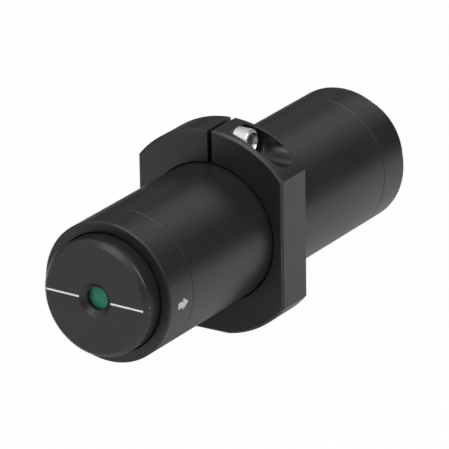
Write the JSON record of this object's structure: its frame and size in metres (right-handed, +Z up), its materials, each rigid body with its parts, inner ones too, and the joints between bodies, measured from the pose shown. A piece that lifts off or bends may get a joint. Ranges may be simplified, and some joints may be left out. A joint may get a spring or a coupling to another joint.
{
  "type": "optical isolator",
  "caption": "Optical isolator: round black barrel with a turning polarizer cell at each end, held in a split mounting ring with a clamp screw and a tapped foot.",
  "frame": {"origin": "mouth of the tapped post hole, in the middle of the mounting ring's flat foot", "axes": "+Z up, out of the tapped hole towards the beam; +Y along the beam, from the input end to the output end; +X towards the clamp screw's head"},
  "size_m": [0.0354, 0.1049, 0.0449],
  "materials": {
    "mounting_ring": "satin black anodised",
    "barrel": "satin black anodised, turned",
    "cell": "satin black anodised, with a white filled index line",
    "inner_aluminium": "matt black anodised",
    "clamp_screw": "bright stainless steel",
    "lock_screw": "black oxide steel",
    "magnet": "nickel plated sintered magnet",
    "sleeve_brass": "turned brass",
    "rotator_crystal": "polished clear garnet",
    "polarizer_glass": "dark green coated glass"
  },
  "bodies": {
    "mount": {"clamp_ring": "mounting_ring"},
    "clamp_screw": {"clamp_screw": "clamp_screw"},
    "barrel": {"main_tube": "barrel", "front_end_ring": "barrel", "rear_end_ring": "barrel", "front_outer_magnet": "magnet", "front_core_magnet": "magnet", "front_inner_magnet": "magnet", "front_crystal_sleeve": "sleeve_brass", "front_rotator_crystal": "rotator_crystal", "front_stack_lock_ring": "inner_aluminium", "rear_outer_magnet": "magnet", "rear_core_magnet": "magnet", "rear_inner_magnet": "magnet", "rear_crystal_sleeve": "sleeve_brass", "rear_rotator_crystal": "rotator_crystal", "rear_stack_lock_ring": "inner_aluminium", "middle_polarizer_holder": "inner_aluminium", "middle_polarizer": "polarizer_glass", "middle_retaining_ring": "inner_aluminium"},
    "input_cell": {"input_polarizer_cell": "cell", "input_polarizer": "polarizer_glass", "input_retaining_ring": "inner_aluminium"},
    "output_cell": {"output_polarizer_cell": "cell", "output_polarizer": "polarizer_glass", "output_retaining_ring": "inner_aluminium"},
    "input_lock_screw": {"input_lock_screw": "lock_screw"},
    "output_lock_screw": {"output_lock_screw": "lock_screw"}
  },
  "joints": [
    {"name": "barrel_turn", "type": "hinge", "parent": "mount", "child": "barrel", "pos_m": [0, 0, 0.0223], "axis": [0, 1, 0], "continuous": true},
    {"name": "input_cell_turn", "type": "hinge", "parent": "barrel", "child": "input_cell", "pos_m": [0, -0.045, 0.0223], "axis": [0, 1, 0], "continuous": true},
    {"name": "output_cell_turn", "type": "hinge", "parent": "barrel", "child": "output_cell", "pos_m": [0, 0.051, 0.0223], "axis": [0, 1, 0], "continuous": true},
    {"name": "clamp_screw_turn", "type": "hinge", "parent": "mount", "child": "clamp_screw", "pos_m": [0.0039, 0, 0.04199], "axis": [1, 0, 0], "range_deg": [0, 360]},
    {"name": "input_lock_screw_turn", "type": "hinge", "parent": "barrel", "child": "input_lock_screw", "pos_m": [0, -0.0426, 0.0223], "axis": [-0.9063, 0, -0.4226], "range_deg": [0, 360]},
    {"name": "output_lock_screw_turn", "type": "hinge", "parent": "barrel", "child": "output_lock_screw", "pos_m": [0, 0.0483, 0.0223], "axis": [-0.9063, 0, -0.4226], "range_deg": [0, 360]}
  ]
}
